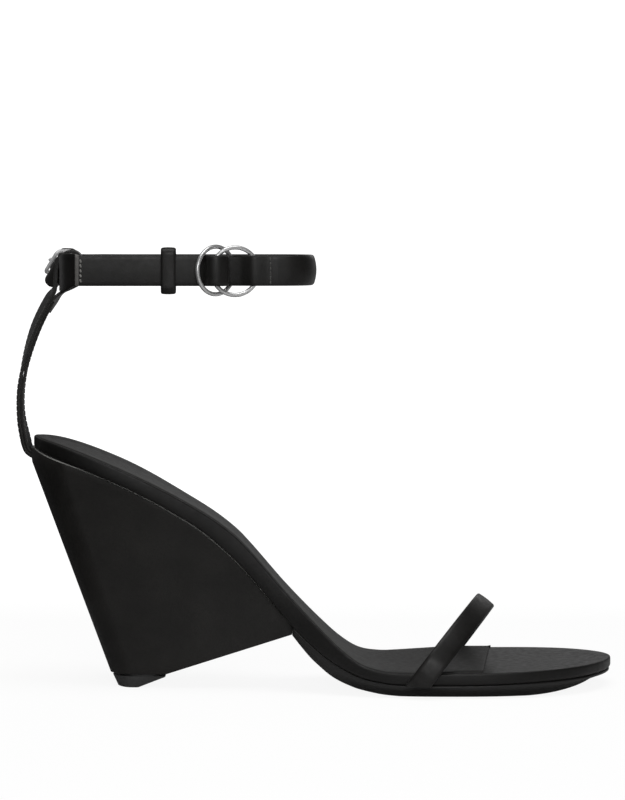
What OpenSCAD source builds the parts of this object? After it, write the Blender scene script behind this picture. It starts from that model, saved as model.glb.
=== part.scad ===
// Wedge-heel sandal, right foot.
// +X points to the toe, +Z up, -Y to the outer (lateral) side.
// The origin is the centre of the top piece's ground face, under the heel.

/* [Straps] */
// Width of the ankle strap
ankle_w = 11.5; // [10:0.5:11.5]
// Thickness of the ankle strap leather
ankle_t = 1.5; // [1.3:0.1:1.5]
// Width of the strap that rises from the heel
heel_strap_w = 9.5; // [8:0.5:9.5]
// Width of the toe strap
toe_w = 8; // [7:0.5:9]
// Thickness of the toe strap, leather and lining together
toe_t = 2.4; // [2:0.1:2.4]

/* [Rings and buckle] */
// Outer diameter of the two strap rings
ring_od = 19.6; // [19.5:0.1:19.7]
// Wire diameter of the two strap rings
ring_wire = 1.65; // [1.5:0.05:1.65]
// Diameter of the buckle bar
bar_d = 1.5; // [1.4:0.1:1.5]

/* [Footbed] */
// Leather thickness of the footbed wrap
wrap_t = 1; // [0.8:0.1:1]
// Thickness of the sock lining
sock_t = 0.8; // [0.6:0.1:1.2]

/* [Wedge] */
// Leather thickness of the wedge skin
skin_t = 1; // [0.8:0.1:1.2]
// Height of the wedge bottom above the ground
wedge_z = 5.3; // [5.3:0.1:5.6]
// Half width of the wedge at ground level
tip_half_w = 7.9; // [7.5:0.1:9]

/* [Hidden] */
$fn = 48;
// Clearance between neighbouring pieces
gap = 0.05;
// Clearance on each side of the joint between strap leather and lining
joint = 0.02;
// Room for the foam, clearance included, under the top of the footbed wrap
foam_room = 0.8;
// Height of the ankle strap's centre line
ankle_z = 159.7;
// Limits of the cutting shapes, clear of the shoe
clip_back = -60;
clip_toe = 192;
clip_top = 130;
leather = [0.11, 0.105, 0.1];
lining = [0.2, 0.19, 0.18];
thread = [0.45, 0.44, 0.42];
steel = [0.75, 0.75, 0.76];

// ---------- curves ----------
function catmull_rom(before, start, end, after, t) = 0.5 * (2 * start + (end - before) * t
    + (2 * before - 5 * start + 4 * end - after) * t * t
    + (3 * start - before - 3 * end + after) * t * t * t);
// Open curve through the points, with a number of steps to each span
function spline(points, steps) = let (last = len(points) - 1)
    [for (i = [0 : last - 1])
        let (before = i > 0 ? points[i - 1] : 2 * points[0] - points[1],
            after = i < last - 1 ? points[i + 2] : 2 * points[last] - points[last - 1])
        for (j = [0 : steps - 1])
            catmull_rom(before, points[i], points[i + 1], after, j / steps),
    points[last]];
// Closed curve through the points, two steps to each span
function loop(points) = let (count = len(points))
    [for (i = [0 : count - 1]) for (j = [0 : 1])
        catmull_rom(points[(i + count - 1) % count], points[i], points[(i + 1) % count],
            points[(i + 2) % count], j / 2)];
function unit(v) = v / norm(v);
function left(v) = [-v[1], v[0]];
// An open or closed curve moved to its left
function shift(path, distance) = let (last = len(path) - 1)
    [for (i = [0 : last])
        path[i] + distance * left(unit(path[min(i + 1, last)] - path[max(i - 1, 0)]))];
function shift_loop(path, distance) = let (count = len(path))
    [for (i = [0 : count - 1])
        path[i] + distance * left(unit(path[(i + 1) % count] - path[(i + count - 1) % count]))];
// Area between two open curves that run the same way
function between(first, second) =
    concat(first, [for (i = [len(second) - 1 : -1 : 0]) second[i]]);
// Area between two shifted copies of one curve
function band(path, from, to) = between(shift(path, from), shift(path, to));
// Rounded rectangle, centred
function rounded_rect(width, height, radius) = [for (quarter = [0 : 3]) for (j = [0 : 6])
    let (angle = 90 * quarter + 90 * j / 6,
        sign_x = (quarter == 0 || quarter == 3) ? 1 : -1,
        sign_y = quarter < 2 ? 1 : -1)
    [sign_x * (width / 2 - radius) + radius * cos(angle),
        sign_y * (height / 2 - radius) + radius * sin(angle)]];

// ---------- solids from curves ----------
// Side view: a polygon in X-Z, spread evenly about Y = 0
module side(profile, width = 100) {
    rotate([90, 0, 0]) translate([0, 0, -width / 2]) linear_extrude(width) polygon(profile);
}
// Plan view: a polygon in X-Y between two heights
module plan(shape, bottom = -10, top = 120) {
    translate([0, 0, bottom]) linear_extrude(top - bottom) polygon(shape);
}
// Closed skin over rings of points
module skin(rings) {
    count = len(rings[0]);
    last_start = (len(rings) - 1) * count;
    polyhedron(
        points = [for (ring = rings) each ring],
        faces = concat(
            [[for (i = [0 : count - 1]) i]],
            [[for (i = [count - 1 : -1 : 0]) last_start + i]],
            [for (start = [0 : count : last_start - count]) for (i = [0 : count - 1])
                let (next = (i + 1) % count)
                each [[start + i, start + count + i, start + count + next],
                    [start + i, start + count + next, start + next]]]),
        convexity = 6);
}

// ---------- sole curves ----------
// Top of the footbed rim, heel to toe: x, z
TOP = spline([[-48, 100.2], [-37.4, 96.6], [-24.6, 93.3], [-9.5, 87.7], [9.3, 79.2],
    [28.2, 68.8], [39.5, 60.9], [47.1, 53.4], [58.4, 40.4], [65.9, 32.3], [73.5, 24.5],
    [81, 17.4], [88.4, 12.1], [95.9, 9.8], [104, 9.2], [122, 9.6], [140.6, 9.7],
    [155.9, 10], [167.5, 10.3], [180, 10.6], [192, 11]], 2);
// Underside of the footbed, heel to toe: x, z
LOW = spline([[-48, 96.4], [-37.4, 92.2], [-30.3, 89.3], [-17.1, 84.7], [-2, 78.5],
    [9.3, 73], [16.9, 68.7], [28.2, 61.6], [39.5, 51.9], [47.1, 43.9], [54.6, 35],
    [62.2, 26.3], [65.9, 22.4], [73.5, 15.7], [81, 10.7], [88.4, 7.3], [95.9, 5.7],
    [104, 5], [122, 5], [140.6, 5.2], [155.8, 5.7], [167, 6], [180, 6.4], [192, 6.8]], 2);
// Lower face of the outsole, flat between its two curved ends: x, z
GROUND = concat(
    spline([[62.95, 21.6], [65.9, 17.9], [69.7, 13.5], [73.5, 10], [77.2, 7], [81, 4.8],
        [84.8, 3.2], [88.5, 2], [96, 0.55], [103, 0]], 2),
    spline([[152, 0], [157, 0.25], [163, 0.8], [171, 2], [177, 3.3], [182, 4.6],
        [192, 6.4]], 2));
// Footbed outline from the heel along the outer side and back along the inner: x, y
OUTLINE = loop([[-36.4, 0], [-35.4, -8], [-31.2, -16.5], [-23, -22.3], [-11, -25.2],
    [3, -25.8], [18, -25], [34, -23.6], [50, -23.2], [64, -25], [78, -29.5], [92, -34.6],
    [106, -38], [122, -39], [138, -38.4], [152, -35.6], [164, -30.3], [174, -22],
    [181.6, -10.5], [185.6, 3], [184, 14], [177.5, 23.5], [168, 30.5], [155, 35.3],
    [140, 37.4], [124, 37.6], [110, 35.6], [96, 30], [82, 22.8], [68, 17.6], [54, 16.2],
    [38, 18.4], [22, 22], [6, 24.4], [-9, 24.9], [-21.5, 22.7], [-30.7, 17], [-35.3, 8.3]]);
function outline(inset) = shift_loop(OUTLINE, inset);

// ---------- fastenings ----------
screw_r = 2;
screw_head_r = 3.8;
nail_r = 0.9;
rivet_r = 1.4;
pin_r = 1.2;
// The screw stands square to the footbed at this x
screw_x = -4;
// Rivets stand square to the curve of the arch: x, tilt
RIVETS = [[23, 33], [86, 22]];
PIN_X = [-0.2, 8];

module screw_frame() {
    translate([screw_x, 0, lookup(screw_x, TOP)]) rotate([0, 22.5, 0]) children();
}
module nail_frames() {
    for (i = [-1, 1]) for (j = [-1, 1]) screw_frame() translate([9 * i, 8 * j, 0]) children();
}
module rivet_frames() {
    for (rivet = RIVETS)
        translate([rivet[0], 0, lookup(rivet[0], LOW)]) rotate([0, rivet[1], 0]) children();
}
module screw_hole(depth) {
    screw_frame() translate([0, 0, -depth]) cylinder(r = screw_r + gap, h = depth);
}
module nail_holes(depth) {
    nail_frames() translate([0, 0, -depth]) cylinder(r = nail_r + gap, h = depth, $fn = 24);
}
module rivet_holes() {
    rivet_frames() translate([0, 0, -2]) cylinder(r = rivet_r + gap, h = 8, $fn = 32);
}
module pins(radius, bottom, height) {
    for (x = PIN_X) translate([x, 0, bottom]) cylinder(r = radius, h = height, $fn = 32);
}
module pin_holes() { pins(radius = pin_r + gap, bottom = 2, height = 15); }

module heel_screw() {
    color("silver") screw_frame() {
        translate([0, 0, -2.75]) cylinder(r = screw_head_r, h = 0.9);
        translate([0, 0, -30]) cylinder(r = screw_r, h = 27.5);
    }
}
module heel_nails() {
    color("silver") nail_frames() translate([0, 0, -20]) cylinder(r = nail_r, h = 17.2, $fn = 24);
}
module shank_rivets() {
    color("silver") rivet_frames() translate([0, 0, 0.15]) cylinder(r = rivet_r, h = 2.1, $fn = 32);
}
module top_piece_pins() { color("silver") pins(radius = pin_r, bottom = 2.1, height = 14.5); }

// ---------- sole ----------
outsole_back = 63;
// Edge of the outsole: height, inset from the footbed outline
OUTSOLE_EDGE = [[-2, 8], [0, 6], [5.2, 0.5], [32, 2.5]];

module outsole() {
    color([0.14, 0.135, 0.13]) difference() {
        intersection() {
            side(between(shift(LOW, -gap), GROUND));
            skin([for (edge = OUTSOLE_EDGE) [for (p = outline(edge[1])) [p[0], p[1], edge[0]]]]);
            translate([outsole_back, -60, -5]) cube([140, 120, 60]);
        }
        tab_room(0.1);
    }
}
module insole_board() {
    color("tan") difference() {
        intersection() {
            side(between(shift(TOP, -wrap_t - foam_room), shift(LOW, wrap_t + gap)));
            plan(outline(wrap_t + 0.1));
        }
        screw_frame() translate([0, 0, -2.8]) cylinder(r = screw_head_r + 0.1, h = 6);
        screw_hole(9);
        nail_holes(9);
        rivet_holes();
    }
}
module footbed_foam() {
    color("khaki") intersection() {
        side(band(TOP, -wrap_t - gap, -wrap_t - foam_room + gap));
        plan(outline(2.5));
    }
}
module footbed_cover() {
    color(leather) difference() {
        intersection() {
            side(between(TOP, LOW));
            plan(outline(0));
        }
        intersection() {
            side(band_inside(wrap_t));
            plan(outline(wrap_t));
        }
        // opening in the underside, which leaves a turned-in margin
        intersection() {
            side(between(shift(TOP, -wrap_t - 1), shift(LOW, -4)));
            plan(outline(9));
        }
    }
}
// Footbed profile drawn in from its top and underside
function band_inside(inset) = between(shift(TOP, -inset), shift(LOW, inset));
module sock_lining() {
    color([0.16, 0.155, 0.15]) intersection() {
        side(band(TOP, gap, sock_t));
        plan(outline(1.5));
        // the front edge runs slightly forward towards the inner side
        plan([[clip_back, -60], [132.7, -60], [143.8, 60], [clip_back, 60]]);
    }
}
module shank() {
    color(steel) difference() {
        intersection() {
            side(band(LOW, gap, wrap_t - 0.1));
            plan([[12, -6], [94, -7], [94, 7], [12, 6]]);
        }
        rivet_holes();
    }
}

// ---------- wedge ----------
// Change of the half width for each mm forward
flare = 0.06;
// x where the wedge sides are cut off, beyond the front of the wedge
sides_end = 90;
// Ring at height z: flat sides that close in towards the ground, and a rounded back
// that leans with the back edge
function wedge_ring(z, inset) =
    let (back = -5.05 - 0.373 * z + inset,
        round_len = 9 + 0.06 * z,
        round_end = back + round_len,
        half_w = tip_half_w + 0.19 * z + flare * round_end - inset,
        end_half_w = half_w + flare * (sides_end - round_end))
    concat([for (t = [90 : -10 : -90]) [round_end - round_len * cos(t), half_w * sin(t), z]],
        [[sides_end, -end_half_w, z], [sides_end, end_half_w, z]]);
// Wedge with its walls drawn in, cut to a side profile
module wedge_body(inset, profile) {
    intersection() {
        skin([wedge_ring(-5, inset), wedge_ring(105, inset)]);
        plan(outline(inset - 1.2));
        side(profile);
    }
}
// Inside of the wedge skin, with a clearance and open down to floor_z
module wedge_inside(clearance, floor_z) {
    heel_x = 14.4 - 2 * clearance;
    front_x = 61.9 - 2 * clearance;
    wedge_body(skin_t + clearance, [[clip_back, floor_z], [heel_x, floor_z],
        [heel_x, wedge_z + skin_t + clearance],
        [front_x, 21.25 + 2 * clearance + 0.7 * skin_t],
        [front_x, clip_top], [clip_back, clip_top]]);
}
module below_footbed() {
    side(concat(shift(LOW, -gap), [[clip_toe, -20], [clip_back, -20]]));
}
module wedge_cover() {
    color([0.09, 0.085, 0.08]) difference() {
        intersection() {
            wedge_body(0, [[clip_back, wedge_z], [14.8, wedge_z], [62.9, 21.2],
                [62.9, clip_top], [clip_back, clip_top]]);
            below_footbed();
        }
        wedge_inside(clearance = 0, floor_z = 0);
    }
}
module wedge_core() {
    color("gainsboro") difference() {
        intersection() {
            wedge_inside(clearance = gap, floor_z = wedge_z);
            below_footbed();
        }
        screw_hole(31);
        nail_holes(21);
        pin_holes();
    }
}

// ---------- top piece ----------
top_piece_r = 8.8;
// Centre of the rounded back
top_piece_x = 2.6;

module top_piece() {
    shoulder_z = 4.35;
    plug_top = wedge_z - gap;
    color([0.35, 0.35, 0.35]) difference() {
        intersection() {
            side([[-6, shoulder_z], [-3.9, 0], [3.9, 0], [14.3, 4], [14.3, shoulder_z],
                [13.2, shoulder_z], [13.2, plug_top], [-3.2, plug_top], [-3.2, shoulder_z]]);
            union() {
                translate([top_piece_x, 0, -5]) cylinder(r = top_piece_r, h = 20, $fn = 64);
                translate([top_piece_x, -top_piece_r, -5]) cube([20, 2 * top_piece_r, 20]);
            }
        }
        pin_holes();
    }
}

// ---------- toe strap ----------
// Inner face of the strap, outer side to inner side, in the plane of arch_frame:
// across the foot, up along the lean
ARCH = spline([[0, -4], [0, 5.5], [1.7, 12], [7.8, 20.5], [18.8, 28.1], [31, 31.9],
    [42, 32.4], [54, 30.3], [65.5, 24.4], [73.2, 16], [77, 8.5], [77.6, 3], [77.6, -6]], 3);
// Turned-in ends between footbed and outsole: near corner x, y, and their bottom z
TABS = [[108.2, -42], [121.3, 29]];
tab_z = 3.9;

// Plane that leans forward 37 degrees
module arch_frame() {
    translate([110.2, -39.15, 5]) rotate([0, 0, 81.2]) rotate([90, 0, 0]) rotate([37, 0, 0])
        children();
}
module arch_band(from, to) {
    difference() {
        intersection() {
            arch_frame() translate([0, 0, -toe_w / 2]) linear_extrude(toe_w)
                polygon(band(ARCH, from, to));
            translate([60, -60, tab_z]) cube([120, 120, 60]);
        }
        plan(outline(-gap), 3, 10.8);
    }
}
module tab_room(grow) {
    for (tab = TABS) translate([tab[0] - grow, tab[1] - grow, tab_z - grow])
        cube([9 + 2 * grow, 13 + 2 * grow, 2]);
}
module toe_strap() { color(leather) arch_band(toe_t / 2 + joint, toe_t); }
module toe_strap_lining() {
    color(lining) union() {
        arch_band(0, toe_t / 2 - joint);
        intersection() {
            tab_room(-0.15);
            side(band(LOW, -2 * gap, -1.1));
            plan(outline(-0.35));
        }
    }
}

// ---------- heel strap ----------
// Face between leather and lining, upwards: x, z
RISE = [[-39.1, 91.2], [-39.9, 95.3], [-41.2, 101.4], [-41.7, 107.6], [-41.5, 113.8],
    [-40.6, 119.9], [-39.3, 126.1], [-37.6, 132.2], [-35.4, 138.4], [-32.7, 144.2],
    [-30.4, 148.4]];
// The leather goes on into a loop round the ankle strap
EYE = [[-28.3, 152], [-27.6, 155.6], [-27.4, 159.2], [-26.7, 162], [-25.4, 164.2],
    [-23.9, 165.6], [-22.2, 166.15], [-20.6, 165.9], [-19.2, 164.4], [-18.6, 161],
    [-18.8, 157.2], [-19.9, 154.8], [-22.4, 153.3], [-25, 152.2], [-26.9, 150.9]];
// The end of the loop lies along the lining
TAIL = [[-28.3, 149.3], [-29.33, 147.6], [-30.47, 145.55], [-31.6, 143.5]];

module heel_strap() {
    color(leather) side(band(spline(concat(RISE, EYE, TAIL), 2), joint, 1.2), heel_strap_w);
}
module heel_strap_lining() {
    color(lining) side(band(spline(RISE, 2), -1.15, -joint), heel_strap_w);
}
// A row along each edge of the strap's rear face
module heel_strap_stitches() {
    path = spline(RISE, 6);
    color([0.3, 0.29, 0.28]) for (s = [-1, 1]) for (i = [3 : 2.4 : len(path) - 3])
        let (k = floor(i),
            along = unit(path[k + 1] - path[k - 1]),
            centre = path[k] + 1.38 * left(along))
        translate([centre[0], s * (heel_strap_w / 2 - 0.9), centre[1]])
            rotate([0, 90 - atan2(along[1], along[0]), 0])
                cube([0.3, 0.4, 1.5], center = true);
}

// ---------- ankle strap ----------
// Frame of the buckle bar: local y runs along the strap, local -x faces outwards,
// and the bar leans in at its top
bar_at = [-26.4, 21.8, 162.6];
bar_turn = -30;
bar_roll = 36;
// Width of the strap ends at the buckle
end_w = 8;
module bar_frame() {
    translate(bar_at) rotate([0, 0, bar_turn]) rotate([0, bar_roll, 0]) children();
}

// A station of a strap is x, y, z, lean, width.
// Station at a distance along the bar frame and outwards from the bar
function from_bar(along, out, width = end_w) = [
    bar_at[0] - along * sin(bar_turn) - out * cos(bar_roll) * cos(bar_turn),
    bar_at[1] + along * cos(bar_turn) - out * cos(bar_roll) * sin(bar_turn),
    bar_at[2] + out * sin(bar_roll), bar_roll, width];
// Upright full-width stations from x, y
function level(points) = [for (p = points) [p[0], p[1], ankle_z, 0, ankle_w]];
// From the outer side round the rear ring, then round the heel to the buckle
REAR = spline(concat(
    level([[-18.7, -28.4], [-8, -28.4], [4, -28.4], [16, -28.4], [24, -28.4],
        [27.2, -28.45], [29.8, -28.9], [32.4, -30.35], [35, -30.6], [37.2, -29.6],
        [38.4, -27.9], [38.1, -26.3], [36.6, -25.4], [34, -25.3], [30, -25.7], [25, -26.4],
        [20, -26.65], [8, -26.7], [-6, -26.7], [-14, -26.6], [-18.6, -25.1],
        [-22.8, -20.8], [-24.9, -14], [-25.6, -7], [-25.7, 0]]),
    [[-25.75, 3.2, 159.7, 0, 11.5], [-26, 5.3, 159.6, 2, 11.5], [-27.6, 7.1, 159, 9, 11.5],
        [-29.5, 8.7, 158.4, 16, 11.5], [-30.6, 10.6, 159.1, 24, 10.4],
        [-30.4, 12.3, 160.4, 32, 8.8], from_bar(-8.5, -1.95), from_bar(-6.4, -0.95),
        from_bar(-4, 1.25), from_bar(-2, 2.65), from_bar(0, 3.1), from_bar(3, 3.1),
        from_bar(6, 2.9), from_bar(8, 2.6, 7.2), from_bar(9.2, 2.4, 4.8),
        from_bar(9.7, 2.3, 2.2)]), 3);
// From the outer side round the front ring, then round the front to the buckle bar
FRONT = spline(concat(
    level([[57.5, -23.25], [54, -22.9], [50.3, -21.7], [46.5, -19.7], [43.5, -18.7],
        [40.6, -18.5], [38.3, -19.8], [37.15, -21.5], [37.2, -22.9], [38.4, -23.75],
        [40.4, -24], [43.8, -24.5], [46.1, -25.3], [48.2, -26], [50.3, -25.85],
        [54, -25.2], [58, -24.95], [62.6, -23.9], [66.6, -21.2], [69.2, -16.3],
        [70.2, -9], [70.4, 0], [70.1, 9], [68.4, 17], [64.3, 23], [57.5, 26.2],
        [48, 27], [30, 27.2], [10, 27.2], [-4, 27.2]]),
    [[-11, 27.2, 160, 6, 11], [-17.5, 26.9, 160.8, 18, 9.6], [-22.2, 25.3, 161.8, 30, 8.3],
        from_bar(2.6, -0.3), from_bar(1, 0)]), 3);

// A strap as a closed skin over its stations; lean_sign is which way it leans along the path
module ribbon(stations, lean_sign) {
    last = len(stations) - 1;
    skin([for (i = [0 : last])
        let (here = stations[i],
            run = stations[min(i + 1, last)] - stations[max(i - 1, 0)],
            normal = left(unit([run[0], run[1]])),
            centre = [here[0], here[1], here[2]],
            lean = lean_sign * here[3],
            across = ankle_t / 2 * [normal[0] * cos(lean), normal[1] * cos(lean), sin(lean)],
            up = here[4] / 2 * [-normal[0] * sin(lean), -normal[1] * sin(lean), cos(lean)])
        [centre - across - up, centre + across - up, centre + across + up,
            centre - across + up]]);
}
module bar_hole(clearance) {
    translate([0, 0, -10]) cylinder(d = bar_d + clearance, h = 20);
}
module rear_strap() {
    color(leather) difference() {
        ribbon(REAR, 1);
        // oblong hole for the prong
        bar_frame() translate([-5, -7.8, -1.2]) cube([8, 7.3, 2.4]);
        // the heel strap's loop presses the upper corner in
        side([[-28, 158.4], [-24.1, 164.6], [-24.1, 168], [-28, 168]], 10.8);
    }
}
module front_strap() {
    color(leather) difference() {
        union() {
            ribbon(FRONT, -1);
            bar_frame() translate([0, 0, 0.06 - end_w / 2]) cylinder(r = 2.05, h = end_w - 0.12);
        }
        bar_frame() {
            bar_hole(0.2);
            // room for the prong's eye
            translate([-4, -6.3, -1.2]) cube([8, 8, 2.4]);
        }
    }
}
// Upright rows at x, one for each y, starting at a drop below the centre line
module stitch_rows(x, rows_y, drop, count) {
    color(thread) for (y = rows_y) for (i = [0 : count - 1])
        translate([x, y, ankle_z - drop + 1.85 * i]) cylinder(r = 0.22, h = 1.2, $fn = 16);
}
module rear_strap_stitches() {
    stitch_rows(x = -16.6, rows_y = [-28.4 - ankle_t / 2 - 0.24, -25.62 + ankle_t / 2],
        drop = 4.3, count = 5);
}
module front_strap_stitches() {
    stitch_rows(x = 54.8, rows_y = [-25.12 - ankle_t / 2 - 0.26, -22.98 + ankle_t / 2 + 0.26],
        drop = 5.2, count = 6);
}
// Band round both layers of the rear strap
module strap_keeper() {
    color(leather) translate([13.6, -27.45, ankle_z]) rotate([90, 0, 90])
        linear_extrude(5.6) difference() {
            polygon(rounded_rect(6.3, 17.3, 2.2));
            polygon(rounded_rect(3.9, 14.9, 1));
        }
}
module strap_ring(centre, turn) {
    color(steel) translate(centre) rotate([0, 0, turn]) rotate([90, 0, 0])
        rotate_extrude($fn = 96) translate([(ring_od - ring_wire) / 2, 0])
            circle(d = ring_wire, $fn = 32);
}
module ring_rear() { strap_ring([34.2, -26.45, ankle_z + 0.1], 42); }
module ring_front() { strap_ring([41.5, -26.05, ankle_z - 0.2], 15); }

// ---------- buckle ----------
frame_t = 1.7;
// Centre line of the prong from the bar to its tip, in the bar frame: x, -y
PRONG = spline([[0, 0.9], [-0.45, 2.6], [-0.9, 5], [-1.62, 7.6], [-1.66, 8.6],
    [-1.45, 9.4]], 3);

// Three-sided frame, open on the side of the bar
module buckle_frame() {
    color(steel) difference() {
        bar_frame() mirror([0, 1, 0]) translate([frame_t / 2, 4.1, 0]) rotate([90, 0, -90])
            linear_extrude(frame_t) difference() {
                polygon(rounded_rect(11, 11.3, 1.7));
                polygon([[-4.2, -4.4], [6, -4.4], [6, 4.4], [-4.2, 4.4]]);
            }
        bar_frame() bar_hole(0.02);
    }
}
module buckle_bar() {
    color(steel) bar_frame() translate([0, 0, -5.5]) cylinder(d = bar_d, h = 11);
}
module buckle_prong() {
    color(steel) bar_frame() mirror([0, 1, 0]) translate([0, 0, -0.9])
        linear_extrude(1.8) difference() {
            union() {
                circle(r = 1.5, $fn = 32);
                polygon(band(PRONG, -0.55, 0.55));
            }
            circle(d = bar_d + 0.1, $fn = 32);
        }
}

outsole();
insole_board();
shank();
shank_rivets();
footbed_foam();
footbed_cover();
sock_lining();
wedge_core();
wedge_cover();
heel_screw();
heel_nails();
top_piece();
top_piece_pins();
toe_strap();
toe_strap_lining();
heel_strap();
heel_strap_lining();
heel_strap_stitches();
rear_strap();
rear_strap_stitches();
front_strap();
front_strap_stitches();
strap_keeper();
ring_rear();
ring_front();
buckle_frame();
buckle_bar();
buckle_prong();
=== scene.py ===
"""A wedge sandal with a toe strap, a heel strap and a buckled ankle strap.

The shoe stands on z = 0 with its heel near x = -36 mm and its toe near x = 186 mm. The outer
(lateral) side is at -y and faces the camera, the inner (medial) side is at +y. Shapes are given
in millimetres, lights and camera in metres.
"""
import math

import bpy
import bmesh
from mathutils import Matrix, Vector


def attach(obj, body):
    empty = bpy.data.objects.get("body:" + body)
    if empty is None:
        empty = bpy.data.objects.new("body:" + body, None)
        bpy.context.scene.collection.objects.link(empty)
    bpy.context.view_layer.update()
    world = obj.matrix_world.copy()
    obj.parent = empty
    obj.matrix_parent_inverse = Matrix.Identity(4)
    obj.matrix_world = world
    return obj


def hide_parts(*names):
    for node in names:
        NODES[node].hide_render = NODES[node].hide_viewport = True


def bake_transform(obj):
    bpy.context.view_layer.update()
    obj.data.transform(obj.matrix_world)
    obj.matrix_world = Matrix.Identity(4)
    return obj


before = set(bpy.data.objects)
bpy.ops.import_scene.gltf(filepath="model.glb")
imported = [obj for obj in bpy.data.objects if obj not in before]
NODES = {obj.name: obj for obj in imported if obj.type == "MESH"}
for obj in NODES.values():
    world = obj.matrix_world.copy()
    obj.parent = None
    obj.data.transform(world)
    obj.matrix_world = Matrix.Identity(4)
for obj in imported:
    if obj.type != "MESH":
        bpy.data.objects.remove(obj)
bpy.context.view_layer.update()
MM = 0.001


# ------------------------------------------------------------------ curves
def lerp_point(a, b, t):
    return [u + (v - u) * t for u, v in zip(a, b)]


def catmull_rom(before, start, end, after, t):
    """Point at t between start and end on the Catmull-Rom curve through four points."""
    return [0.5 * (2 * q + (r - p) * t + (2 * p - 5 * q + 4 * r - s) * t * t
                   + (3 * q - p - 3 * r + s) * t ** 3)
            for p, q, r, s in zip(before, start, end, after)]


def curve_through(padded, steps):
    """Curve through padded, whose outermost points only steer the ends."""
    return [catmull_rom(*four, j / steps)
            for four in zip(padded, padded[1:], padded[2:], padded[3:])
            for j in range(steps)]


def spline(points, steps):
    """Open curve through points, with steps pieces between neighbours."""
    points = [list(map(float, p)) for p in points]
    before = [2 * u - v for u, v in zip(points[0], points[1])]
    after = [2 * u - v for u, v in zip(points[-1], points[-2])]
    return curve_through([before] + points + [after], steps) + [points[-1]]


def resample(points, step=None, count=None):
    """Points at even spacing in space; columns after the third are carried along."""
    reached = [0.0]
    for a, b in zip(points, points[1:]):
        reached.append(reached[-1] + math.dist(a[:3], b[:3]))
    total = reached[-1]
    n = count if count else max(2, int(round(total / step)) + 1)
    out, i = [], 0
    for k in range(n):
        s = total * k / (n - 1)
        while i < len(reached) - 2 and reached[i + 1] < s:
            i += 1
        t = (s - reached[i]) / max(1e-9, reached[i + 1] - reached[i])
        out.append(lerp_point(points[i], points[i + 1], t))
    return out


def height_at(curve, x):
    """Second coordinate of the curve at x, held level beyond its ends."""
    if x <= curve[0][0]:
        return curve[0][1]
    for a, b in zip(curve, curve[1:]):
        if a[0] <= x <= b[0]:
            return a[1] + (b[1] - a[1]) * (x - a[0]) / max(1e-9, b[0] - a[0])
    return curve[-1][1]


def smooth(t):
    t = max(0.0, min(1.0, t))
    return t * t * (3 - 2 * t)


def left_normals(points):
    """Unit normals to the left of an open path, taken in its first two coordinates."""
    normals = []
    for i in range(len(points)):
        a, b = points[max(i - 1, 0)], points[min(i + 1, len(points) - 1)]
        dx, dy = b[0] - a[0], b[1] - a[1]
        length = math.hypot(dx, dy)
        normals.append((-dy / length, dx / length))
    return normals


def rounded_rectangle(width, height, radius, steps):
    """Evenly spaced closed ring of points; steps sets how finely it is divided."""
    points = []
    for quarter, (side_x, side_y) in enumerate(((1, 1), (-1, 1), (-1, -1), (1, -1))):
        for j in range(steps + 1):
            a = math.radians(90 * quarter + 90 * j / steps)
            points.append((side_x * (width / 2 - radius) + radius * math.cos(a),
                           side_y * (height / 2 - radius) + radius * math.sin(a)))
    points.append(points[0])
    return resample(points, count=8 * steps + 8)[:-1]


# ------------------------------------------------------------------ measured outlines
# Side view, (x, z): the footbed's upper edge, its lower edge, and the sole's underside.
TOP_LINE = spline([
    (-48, 100.2), (-37.4, 96.6), (-24.6, 93.3), (-9.5, 87.7), (9.3, 79.2), (28.2, 68.8),
    (39.5, 60.9), (47.1, 53.4), (58.4, 40.4), (65.9, 32.3), (73.5, 24.5), (81, 17.4),
    (88.4, 12.1), (95.9, 9.8), (104, 9.2), (122, 9.6), (140.6, 9.7), (155.9, 10),
    (167.5, 10.3), (180, 10.6), (192, 11)], 8)
UNDER_LINE = spline([
    (-48, 96.4), (-37.4, 92.2), (-30.3, 89.3), (-17.1, 84.7), (-2, 78.5), (9.3, 73),
    (16.9, 68.7), (28.2, 61.6), (39.5, 51.9), (47.1, 43.9), (54.6, 35), (62.2, 26.3),
    (65.9, 22.4), (73.5, 15.7), (81, 10.7), (88.4, 7.3), (95.9, 5.7), (104, 5), (122, 5),
    (140.6, 5.2), (155.8, 5.7), (167, 6), (180, 6.4), (192, 6.8)], 8)
GROUND_LINE = spline([
    (62.95, 21.6), (65.9, 17.9), (69.7, 13.5), (73.5, 10), (77.2, 7), (81, 4.8), (84.8, 3.2),
    (88.5, 2), (96, 0.55), (103, 0)], 6) + spline([
        (152, 0), (157, 0.25), (163, 0.8), (171, 2), (177, 3.3), (182, 4.6), (192, 6.4)], 6)

# Plan view, (x, y), heel to toe along each side.
LATERAL_POINTS = [
    (-36.4, 0), (-35.4, -8), (-31.2, -16.5), (-23, -22.3), (-11, -25.2), (3, -25.8),
    (18, -25), (34, -23.6), (50, -23.2), (64, -25), (78, -29.5), (92, -34.6), (106, -38),
    (122, -39), (138, -38.4), (152, -35.6), (164, -30.3), (174, -22), (181.6, -10.5),
    (185.6, 3)]
MEDIAL_POINTS = [
    (-36.4, 0), (-35.3, 8.3), (-30.7, 17), (-21.5, 22.7), (-9, 24.9), (6, 24.4), (22, 22),
    (38, 18.4), (54, 16.2), (68, 17.6), (82, 22.8), (96, 30), (110, 35.6), (124, 37.6),
    (140, 37.4), (155, 35.3), (168, 30.5), (177.5, 23.5), (184, 14), (185.6, 3)]


def outline_halves(steps=8):
    """Lateral and medial halves of one closed curve, each from heel to toe."""
    ring = LATERAL_POINTS + MEDIAL_POINTS[1:-1][::-1]
    full = curve_through(ring[-1:] + ring + ring[:2], steps)
    toe = (len(LATERAL_POINTS) - 1) * steps
    return full[:toe + 1], [full[0]] + full[toe:][::-1]


LATERAL, MEDIAL = outline_halves()


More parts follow.
